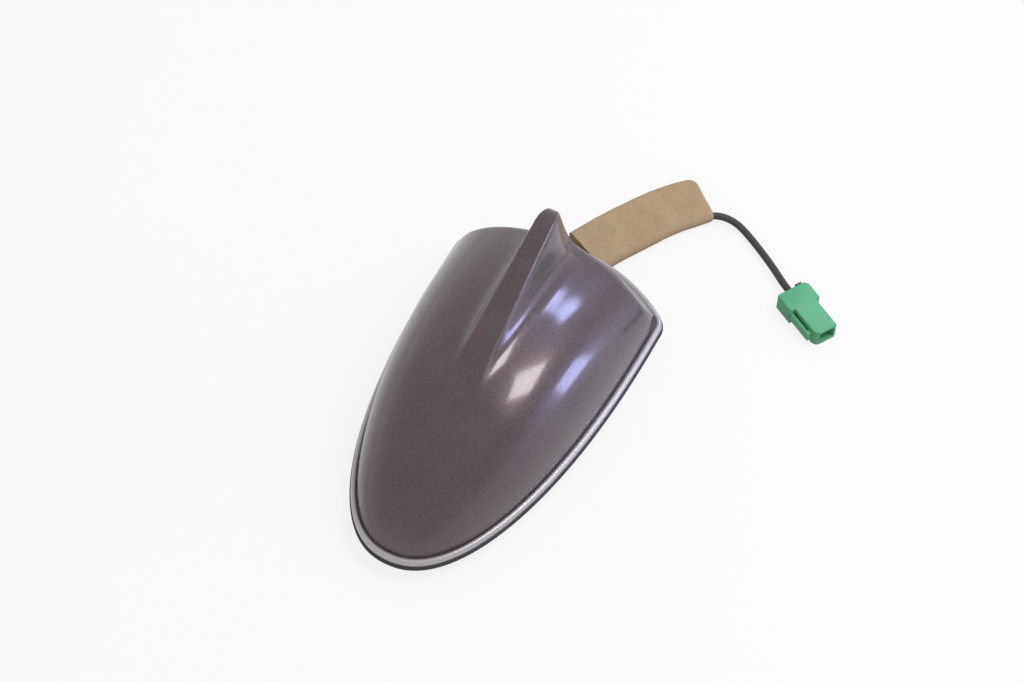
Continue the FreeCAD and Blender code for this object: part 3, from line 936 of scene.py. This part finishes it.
@dataclass
class Lead:
    """The coaxial lead, its route and the foam that wraps it."""

    diameter: float = 0.0028
    length: float = 0.172
    origin: float = 0.084
    entry: float = 0.003
    route: tuple[Point, ...] = (
        (0.0, 0.083, 0.0132),
        (0.0, 0.092, 0.0132),
        (0.0, 0.102, 0.0032),
        (0.0, 0.122, 0.0032),
        (0.0008, 0.132, 0.0032),
        (0.0046, 0.1435, 0.0032),
        (0.0145, 0.1617, 0.0032),
        (0.0205, 0.1717, 0.0032),
        (0.0256, 0.1799, 0.0032),
        (0.0334, 0.1889, 0.0032),
        (0.0389, 0.1921, 0.0032),
        (0.0451, 0.1924, 0.0025),
        (0.0512, 0.1899, 0.0018),
        (0.0593, 0.1849, 0.0016),
        (0.0668, 0.1794, 0.0022),
        (0.0741, 0.17265, 0.004),
        (0.0805, 0.1687, 0.004),
    )
    foam_first: float = 0.1484
    foam_rear_radius: float = 0.0661
    foam_rear_centre: float = 0.084
    foam_bend: float = 0.1843
    foam_last: float = 0.1916
    foam_half: float = 0.0031
    foam_width: float = 0.021
    foam_slit: float = 0.00045
    foam_slit_depth: float = 0.006
    foam_edge: float = 0.0003
    foam_soft: float = 0.0020
    foam_end_round: float = 0.0045
    foam_end_thin: float = 0.0018
    foam_swell: float = 0.02
    foam_pinch: float = 0.05
    foam_sway: float = 0.015
    foam_wave: float = 0.00009
    foam_rest: float = 0.0001
    foam_lump_size: float = 0.006
    foam_lump_depth: float = 0.0006
    foam_rows: int = 46

    def points(self) -> list[Point]:
        """Give the route in the part's frame."""
        return [(across, along - self.origin, level) for across, along, level in self.route]

    def _spline(self, name: str, radius: float) -> bpy.types.Object:
        """Make the route's smooth curve.

        Args:
            name: The object's name.
            radius: The lead's radius, or 0 for a bare line.

        Returns:
            The curve object.
        """
        curve = bpy.data.curves.new(name, "CURVE")
        curve.dimensions = "3D"
        curve.resolution_u = 14
        spline = curve.splines.new("NURBS")
        points = self.points()
        spline.points.add(len(points) - 1)
        for target, point in zip(spline.points, points):
            target.co = (*point, 1.0)
        spline.order_u = 3
        spline.use_endpoint_u = True
        curve.bevel_depth = radius
        curve.bevel_resolution = 6
        curve.use_fill_caps = radius > 0
        piece = bpy.data.objects.new(name, curve)
        bpy.context.scene.collection.objects.link(piece)
        return piece

    def build(self) -> bpy.types.Object:
        """Make the lead."""
        return self._spline("coaxial_lead", self.diameter / 2)

    def centre_line(self) -> list[Vector]:
        """Read the smooth route's points from its own curve.

        Returns:
            The points in order.
        """
        bare = self._spline("route_line", 0.0)
        bpy.context.view_layer.update()
        mesh = bpy.data.meshes.new_from_object(bare)
        line = [vertex.co.copy() for vertex in mesh.vertices]
        bpy.data.objects.remove(bare)
        bpy.data.meshes.remove(mesh)
        return line

    def _foam_section(self) -> list[tuple[float, float]]:
        """Give the folded strip's section: across from the lead, and height from its middle.

        Returns:
            Places across and in height, in order round the strip.
        """
        half = self.foam_half
        far = self.foam_width - half
        soft = self.foam_soft
        quarter = [math.pi / 2 * step / 5 for step in range(6)]
        section = []
        fold_steps = 14
        for step in range(fold_steps + 1):
            angle = -math.pi / 2 - math.pi * step / fold_steps
            section.append((half * math.cos(angle), half * math.sin(angle)))
        section += [(far * share, half) for share in (0.12, 0.25, 0.4, 0.55, 0.7, 0.85)]
        flat = far - soft
        rest = half - soft
        section += [(flat + soft * math.sin(turn), rest + soft * math.cos(turn)) for turn in quarter]
        slit = self.foam_slit / 2
        deep = far - self.foam_slit_depth
        section += [(far, slit + 0.2 * soft), (far - 0.15 * soft, slit), (deep, 0.2 * slit)]
        section += [(deep, -0.2 * slit), (far - 0.15 * soft, -slit), (far, -slit - 0.2 * soft)]
        section += [(flat + soft * math.cos(turn), -rest - soft * math.sin(turn)) for turn in quarter]
        section += [(far * share, -half) for share in (0.85, 0.7, 0.55, 0.4, 0.25, 0.12)]
        return section

    def _end_rounding(self, left: float) -> tuple[float, float]:
        """Give the foam's shares of width and thickness at a distance from its free end."""
        corner = max(0.0, 1 - left / self.foam_end_round)
        edge = max(0.0, 1 - left / self.foam_end_thin)
        narrow = 1 - self.foam_end_round / self.foam_width * (1 - math.sqrt(1 - corner ** 2))
        thin = 1 - self.foam_end_thin / (2 * self.foam_half) * (1 - math.sqrt(1 - edge ** 2))
        return narrow, thin

    def _clear_of_cover(self, corner: Vector, ahead: Vector) -> Vector:
        """Move a foam point along the lead until it is clear of the cover's arched rear.

        Args:
            corner: The foam's point.
            ahead: The lead's direction there.

        Returns:
            The moved point.
        """
        centre = Vector((0.0, self.foam_rear_centre - self.origin, corner.z))
        offset = corner - centre
        if offset.length >= self.foam_rear_radius:
            return corner
        along = offset.dot(ahead)
        reach = math.sqrt(along ** 2 + self.foam_rear_radius ** 2 - offset.length_squared)
        return corner + ahead * (reach - along)

    def foam(self) -> bpy.types.Object:
        """Make the foam strip, folded over the lead along its own curve.

        Returns:
            The new object.
        """
        start = self.foam_first - self.origin
        bend = self.foam_bend - self.origin
        line = [point for point in self.centre_line() if point.y > start]
        turn = next(index for index, point in enumerate(line) if point.y > bend)
        line = line[:turn]
        ahead = (line[-1] - line[-3]).normalized()
        line.append(line[-1] + ahead * ((self.foam_last - self.origin - line[-1].y) / ahead.y))
        lengths = [0.0]
        for before, after in zip(line, line[1:]):
            lengths.append(lengths[-1] + (after - before).length)
        section = self._foam_section()
        total = lengths[-1]
        reaches = [total * row / self.foam_rows for row in range(self.foam_rows)]
        end_steps = 8
        for step in range(1, end_steps + 1):
            left = self.foam_end_round * (1 - math.sin(math.pi / (2 * end_steps) * step))
            reaches.append(total - left)
        rows = []
        for reach in sorted(reaches):
            index = max(i for i, value in enumerate(lengths) if value <= reach + 1e-9)
            index = min(index, len(line) - 2)
            run = line[index + 1] - line[index]
            spot = line[index] + run * ((reach - lengths[index]) / run.length)
            ahead = Vector((run.x, run.y, 0.0)).normalized()
            side = Vector((-ahead.y, ahead.x, 0.0))
            share = reach / total
            narrow, thin = self._end_rounding(total - reach)
            puff = 1.0 + self.foam_swell * math.sin(9.0 * share) - self.foam_pinch * (2 * share - 1) ** 8
            stretch = 1 + self.foam_sway * math.sin(5 * share)
            ring = []
            for across, height in section:
                lift = height * puff * thin
                inwards = thin
                if across > 0:
                    lift += self.foam_wave * math.sin(40.0 * share + 300.0 * across)
                    inwards = narrow
                corner = spot + side * (across * stretch * inwards) + Vector((0, 0, lift))
                ring.append(tuple(self._clear_of_cover(corner, ahead)))
            rows.append(ring)
        piece = rows_mesh("foam_strip", rows, RowEnds.CLOSED, RowEnds.OPEN)
        activate(piece)
        bpy.ops.object.mode_set(mode="EDIT")
        bpy.ops.mesh.select_all(action="SELECT")
        bpy.ops.mesh.fill_holes(sides=0)
        bpy.ops.object.mode_set(mode="OBJECT")
        merge_and_face_outwards(piece)
        bevel(piece, self.foam_edge, 4, 55.0)
        self._roughen(piece)
        smooth(piece, 60.0)
        return piece

    def _roughen(self, piece: bpy.types.Object) -> None:
        """Give the foam its slightly uneven surface, pressed flat where it lies on the ground.

        Args:
            piece: The foam strip.
        """
        clouds = bpy.data.textures.new("foam_clouds", "CLOUDS")
        clouds.noise_scale = self.foam_lump_size
        lumps = piece.modifiers.new("lumps", "DISPLACE")
        lumps.texture = clouds
        lumps.texture_coords = "GLOBAL"
        lumps.strength = self.foam_lump_depth
        lumps.mid_level = 0.6
        apply_modifiers(piece)
        for vertex in piece.data.vertices:
            vertex.co.z = max(vertex.co.z, self.foam_rest)


@dataclass
class Connector:
    """The connector on the lead's end, drawn along +Y from its rear face and then laid in place."""

    rear: Point
    ahead: Vector
    collar_length: float = 0.0085
    collar_half: float = 0.0064
    corner_cut: float = 0.0015
    front_length: float = 0.0135
    front_low: float = -0.0046
    front_high: float = 0.0044
    height: float = 0.008
    front_height: float = 0.0078
    axis: float = 0.004
    mouth_low: float = -0.0038
    mouth_high: float = 0.0026
    mouth_height: float = 0.0052
    mouth_depth: float = 0.009
    latch_gap: float = 0.0008
    latch_thickness: float = 0.0012
    latch_length: float = 0.012
    latch_height: float = 0.004
    latch_root: float = 0.002
    latch_sink: float = 0.0003
    nose_round: float = 0.0025
    edge_round: float = 0.00035

    def _lay(self, piece: bpy.types.Object) -> None:
        """Turn a piece to the connector's direction and put it at its place, in its mesh."""
        turn = math.atan2(-self.ahead.x, self.ahead.y)
        place = Matrix.Translation(Vector((self.rear[0], self.rear[1], 0.0)))
        piece.data.transform(place @ Matrix.Rotation(turn, 4, "Z"))
        piece.data.update()

    def _block(self) -> bpy.types.Object:
        """Model the housing's block: a collar with a cut corner and a front with a round one.

        Returns:
            The new object.
        """
        near = 1e-5
        low = (-self.collar_half, 0.0, 0.0)
        piece = add_block("housing", low, (self.collar_half, self.collar_length, self.height))
        near_corner = -self.collar_half + self.edge_round

        def at_rear_corner(first: Vector, second: Vector) -> bool:
            """Tell whether an edge stands at the collar's cut corner."""
            return max(first.x, second.x) < near_corner and max(first.y, second.y) < near

        select_edges(piece, at_rear_corner)
        bpy.ops.mesh.bevel(offset=self.corner_cut, segments=1)
        bpy.ops.object.mode_set(mode="OBJECT")
        select_faces(piece, lambda centre, normal: normal.y > 0.9)
        bpy.ops.mesh.extrude_region_move(TRANSFORM_OT_translate={"value": (0.0, 0.0, 0.0)})
        width = (self.front_high - self.front_low) / (2 * self.collar_half)
        pivot = (0.0, self.collar_length, self.axis)
        shares = (width, 1.0, self.front_height / self.height)
        bpy.ops.transform.resize(value=shares, center_override=pivot)
        bpy.ops.transform.translate(value=((self.front_high + self.front_low) / 2, 0.0, 0.0))
        bpy.ops.mesh.extrude_region_move(TRANSFORM_OT_translate={"value": (0.0, self.front_length, 0.0)})
        bpy.ops.object.mode_set(mode="OBJECT")
        front = self.collar_length + self.front_length - near
        side = self.front_high - near

        def at_front_corner(first: Vector, second: Vector) -> bool:
            """Tell whether an edge stands at the front's round corner."""
            return min(first.y, second.y) > front and min(first.x, second.x) > side

        select_edges(piece, at_front_corner)
        bpy.ops.mesh.bevel(offset=self.nose_round, segments=7)
        bpy.ops.object.mode_set(mode="OBJECT")
        bevel(piece, self.edge_round, 3, 30.0)
        return piece

    def _open_mouth(self, piece: bpy.types.Object) -> None:
        """Cut the mouth into the housing's front face.

        Args:
            piece: The housing's block.
        """
        front = self.collar_length + self.front_length
        half = self.mouth_height / 2
        low = (self.mouth_low, front - self.mouth_depth, self.axis - half)
        high = (self.mouth_high, front + self.nose_round, self.axis + half)
        cutter = add_block("mouth", low, high)
        cut = piece.modifiers.new("mouth", "BOOLEAN")
        cut.operation = "DIFFERENCE"
        cut.solver = "EXACT"
        cut.object = cutter
        apply_modifiers(piece)
        bpy.data.objects.remove(cutter)

    def _latch(self) -> bpy.types.Object:
        """Model the sprung arm along the side, its root near the mouth.

        Returns:
            The new object.
        """
        end = self.collar_length + self.front_length - self.nose_round
        low = self.axis - self.latch_height / 2
        high = self.axis + self.latch_height / 2
        inner = self.front_high + self.latch_gap
        outer = inner + self.latch_thickness
        rear = (inner, end - self.latch_length, low)
        piece = add_block("latch", rear, (outer, end - self.latch_root, high))
        select_faces(piece, lambda centre, normal: normal.y > 0.9)
        bpy.ops.mesh.extrude_region_move(TRANSFORM_OT_translate={"value": (0.0, self.latch_root, 0.0)})
        bpy.ops.object.mode_set(mode="OBJECT")
        tip = end - 0.6 * self.latch_root
        select_faces(piece, lambda centre, normal: normal.x < -0.9 and centre.y > tip)
        inwards = (-self.latch_gap - self.latch_sink, 0.0, 0.0)
        bpy.ops.mesh.extrude_region_move(TRANSFORM_OT_translate={"value": inwards})
        bpy.ops.object.mode_set(mode="OBJECT")
        return piece

    def build(self) -> bpy.types.Object:
        """Make the housing with its latch arm.

        Returns:
            The housing and its latch arm as one object.
        """
        block = self._block()
        merge_and_face_outwards(block)
        self._open_mouth(block)
        merge_and_face_outwards(block)
        latch = self._latch()
        merge_and_face_outwards(latch)
        bevel(latch, self.edge_round, 3, 30.0)
        piece = join([block, latch], "connector_body")
        self._lay(piece)
        smooth(piece, 35.0)
        return piece


@dataclass
class Studio:
    """The pale floor, soft lights and the camera at the photograph's viewing angle."""

    azimuth: float = 27.5
    elevation: float = 55.8
    distance: float = 0.855
    pixels_per_metre: float = 2716.0
    target: Point = (-0.00455, 0.0186, 0.005)
    sensor: float = 36.0
    lit: Point = (0.0, 0.0, 0.02)
    window_blue: Colour = (0.50, 0.56, 1.0)
    floor_half: float = 6.0
    ceiling: Colour = (0.47, 0.46, 0.46)
    horizon: Colour = (0.90, 0.89, 0.92)
    floor_bounce: Colour = (0.36, 0.35, 0.36)
    floor_tone: Colour = (0.9, 0.9, 0.9)
    floor_glow: float = 0.82
    floor_mirrored: float = 0.55

    def _away(self) -> Vector:
        """Give the direction from the target to the camera."""
        turn = math.radians(self.azimuth)
        lift = math.radians(self.elevation)
        flat = math.cos(lift)
        return Vector((math.sin(turn) * flat, -math.cos(turn) * flat, math.sin(lift)))

    def camera(self) -> None:
        """Place the camera."""
        data = bpy.data.cameras.new("camera")
        data.sensor_width = self.sensor
        data.lens = self.pixels_per_metre * self.distance / IMAGE_WIDTH * self.sensor
        data.clip_start = 0.01
        data.clip_end = 50.0
        camera = bpy.data.objects.new("camera", data)
        bpy.context.scene.collection.objects.link(camera)
        away = self._away()
        camera.location = Vector(self.target) + away * self.distance
        camera.rotation_euler = away.to_track_quat("Z", "Y").to_euler()
        bpy.context.scene.camera = camera

    def _seen_directly(self, shader: Shader) -> Field:
        """Give 1 on rays from the camera, a share on glossy or glass rays, and 0 on others."""
        path = shader.node("ShaderNodeLightPath", {}, {})
        camera = Field(shader, path.outputs["Is Camera Ray"])
        mirrored = Field(shader, path.outputs["Is Glossy Ray"])
        passed = Field(shader, path.outputs["Is Transmission Ray"])
        return camera + (mirrored + passed) * self.floor_mirrored

    def floor(self) -> None:
        """Lay the pale floor, which keeps the object's soft shadow."""
        deselect_all()
        bpy.ops.mesh.primitive_plane_add(size=2 * self.floor_half, location=(0.0, 0.0, 0.0))
        floor = bpy.context.object
        floor.name = "floor"
        shader = Shader.for_material("pale_floor")
        direct = self._seen_directly(shader)
        tone = shader.mix(direct, self.floor_bounce, self.floor_tone)
        matte = shader.node("ShaderNodeBsdfDiffuse", {}, {"Color": tone})
        glow = shader.node("ShaderNodeEmission", {}, {"Color": (1.0, 1.0, 1.0), "Strength": 1.0})
        seen = direct * self.floor_glow
        blend = shader.node("ShaderNodeMixShader", {}, {0: seen, 1: matte.outputs[0], 2: glow.outputs[0]})
        floor.data.materials.append(shader.close(blend))

    def lamp(self, name: str, spot: Point, size: tuple[float, float], power: float, colour: Colour) -> None:
        """Add one soft rectangular lamp.

        Args:
            name: The lamp's name.
            spot: Where it hangs; it points at the antenna's middle.
            size: Width and height.
            power: Watts.
            colour: Its colour.
        """
        data = bpy.data.lights.new(name, "AREA")
        data.shape = "RECTANGLE"
        data.size, data.size_y = size
        data.energy = power
        data.color = colour
        lamp = bpy.data.objects.new(name, data)
        bpy.context.scene.collection.objects.link(lamp)
        lamp.location = spot
        lamp.rotation_euler = (Vector(spot) - Vector(self.lit)).to_track_quat("Z", "Y").to_euler()

    def lights(self) -> None:
        """Set the world and the lamps."""
        shader = Shader.for_world("room")
        direction = shader.node("ShaderNodeTexCoord", {}, {}).outputs["Generated"]
        parts = shader.node("ShaderNodeSeparateXYZ", {}, {0: direction})
        low = shader.between(Field(shader, parts.outputs[2]), 0.0, 0.85, 1.0, 0.0)
        left = shader.between(Field(shader, parts.outputs[0]), -1.0, 0.3, 0.25, 0.0)
        tone = shader.mix(low * low + left, self.ceiling, self.horizon)
        room = shader.node("ShaderNodeBackground", {}, {"Color": tone, "Strength": 1.0})
        white = shader.node("ShaderNodeBackground", {}, {"Color": (1.0, 1.0, 1.0), "Strength": 1.0})
        seen = shader.node("ShaderNodeLightPath", {}, {}).outputs["Is Camera Ray"]
        blend = shader.node("ShaderNodeMixShader", {}, {0: seen, 1: room.outputs[0], 2: white.outputs[0]})
        bpy.context.scene.world = shader.close(blend)
        self.lamp("key", (0.36, 0.19, 0.80), (0.26, 0.40), 3.2, (1.0, 0.97, 0.98))
        self.lamp("window", (0.96, 0.44, 0.16), (0.22, 0.34), 2.7, self.window_blue)
        self.lamp("rear_window", (0.20, 0.80, 0.72), (0.14, 0.18), 1.4, self.window_blue)

    def build(self) -> None:
        """Set the whole stage."""
        scene = bpy.context.scene
        scene.view_settings.view_transform = "Standard"
        self.floor()
        self.lights()
        self.camera()


class Finishes:
    """Every material of the antenna, made once."""

    def __init__(self) -> None:
        """Make the materials."""
        self.paint = FlakePaint().make()
        # The bead's paint is the cover's flake paint made far lighter: painted light, for the bright band
        # along the bead.
        lip = FlakePaint("lip_painted_light", (0.47, 0.445, 0.45), (0.55, 0.525, 0.53), (0.60, 0.57, 0.58), 0.32)
        self.lip_painted_light = lip.make()
        self.rubber = Moulded("black_rubber", (0.020, 0.020, 0.022), (0.050, 0.050, 0.053), 0.55, 0.75).make()
        self.jacket = Moulded("lead_jacket", (0.032, 0.032, 0.034), (0.066, 0.066, 0.069), 0.42, 0.58).make()
        self.foam = OpenFoam().make()
        self.green = Moulded("green_plastic", (0.085, 0.40, 0.19), (0.125, 0.50, 0.255), 0.40, 0.55).make()
        self.dark = Moulded("dark_plastic", (0.045, 0.042, 0.044), (0.085, 0.080, 0.083), 0.45, 0.6).make()
        self.white = Moulded("white_plastic", (0.70, 0.70, 0.68), (0.82, 0.82, 0.80), 0.4, 0.5).make()
        self.black = Moulded("chip_plastic", (0.012, 0.012, 0.013), (0.03, 0.03, 0.032), 0.5, 0.65).make()
        self.board = Moulded("board_resist", (0.012, 0.11, 0.045), (0.03, 0.19, 0.08), 0.28, 0.4).make()
        self.ceramic = Moulded("patch_ceramic", (0.52, 0.45, 0.33), (0.68, 0.60, 0.46), 0.5, 0.7).make()
        self.pad = Moulded("pad_foam", (0.60, 0.60, 0.57), (0.76, 0.76, 0.73), 0.8, 0.95).make()
        cast = Metal("cast_alloy", (0.40, 0.40, 0.41), (0.56, 0.56, 0.56), 0.45, 0.65, 420.0, 0.00012)
        self.cast = cast.make()
        self.steel = Metal("zinc_steel", (0.52, 0.52, 0.53), (0.68, 0.68, 0.68), 0.28, 0.42).make()
        self.tin = Metal("tin_plate", (0.60, 0.60, 0.58), (0.74, 0.74, 0.72), 0.25, 0.4).make()
        self.brass = Metal("plated_brass", (0.66, 0.50, 0.22), (0.84, 0.66, 0.34), 0.2, 0.32).make()

    def by_node(self) -> dict[str, bpy.types.Material]:
        """Give the material of each solid that shows as it is.

        Returns:
            Materials by the solid's name.
        """
        return {
            "base_plate": self.cast,
            "cover_screws": self.steel,
            "circuit_board": self.board,
            "board_screws": self.steel,
            "patch_pad": self.pad,
            "patch_antenna": self.ceramic,
            "patch_electrode": self.tin,
            "feed_pin": self.tin,
            "shield_can": self.tin,
            "amplifier_chip": self.black,
            "filter_chip": self.black,
            "ground_clip": self.tin,
            "cable_grommet": self.rubber,
            "terminal_retainer": self.dark,
            "crimp_ferrule": self.tin,
            "contact_shell": self.tin,
            "contact_insulator": self.white,
            "centre_contact": self.brass,
        }


def dress_solids(nodes: dict[str, bpy.types.Object], finishes: Finishes) -> None:
    """Give each carried-over solid its finish.

    Args:
        nodes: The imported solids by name.
        finishes: The materials.
    """
    for name, material in finishes.by_node().items():
        solid = nodes[name]
        if not solid.material_slots:
            solid.data.materials.append(material)
        for place in solid.material_slots:
            place.material = material


def main() -> None:
    """Build the antenna's pieces in order."""
    logging.basicConfig(level=logging.INFO, format="%(name)s %(message)s")
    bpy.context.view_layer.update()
    finishes = Finishes()
    dress_solids(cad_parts, finishes)
    skin, bead = Cover().build()
    dress(skin, finishes.paint, ["cover"])
    # The bead gets the lighter copy of the paint: painted light along the cover's foot.
    dress(bead, finishes.lip_painted_light, ["cover"])
    dress(RoofRing().build(), finishes.rubber, ["roof_gasket"])
    lead = Lead()
    cable = lead.build()
    dress(cable, finishes.jacket, ["coax_cable"])
    foam = lead.foam()
    dress(foam, finishes.foam, ["foam_wrap"])
    points = [Vector(point) for point in lead.points()]
    ahead = (points[-1] - points[-2]).normalized()
    rear = points[-1] - ahead * lead.entry
    plug = Connector(tuple(rear), ahead).build()
    dress(plug, finishes.green, ["connector_housing"])
    solids = [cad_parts[name] for name in CONTACT_NODES]
    [foam, plug] + solids
    Studio().build()


if __name__ == "__main__":
    main()
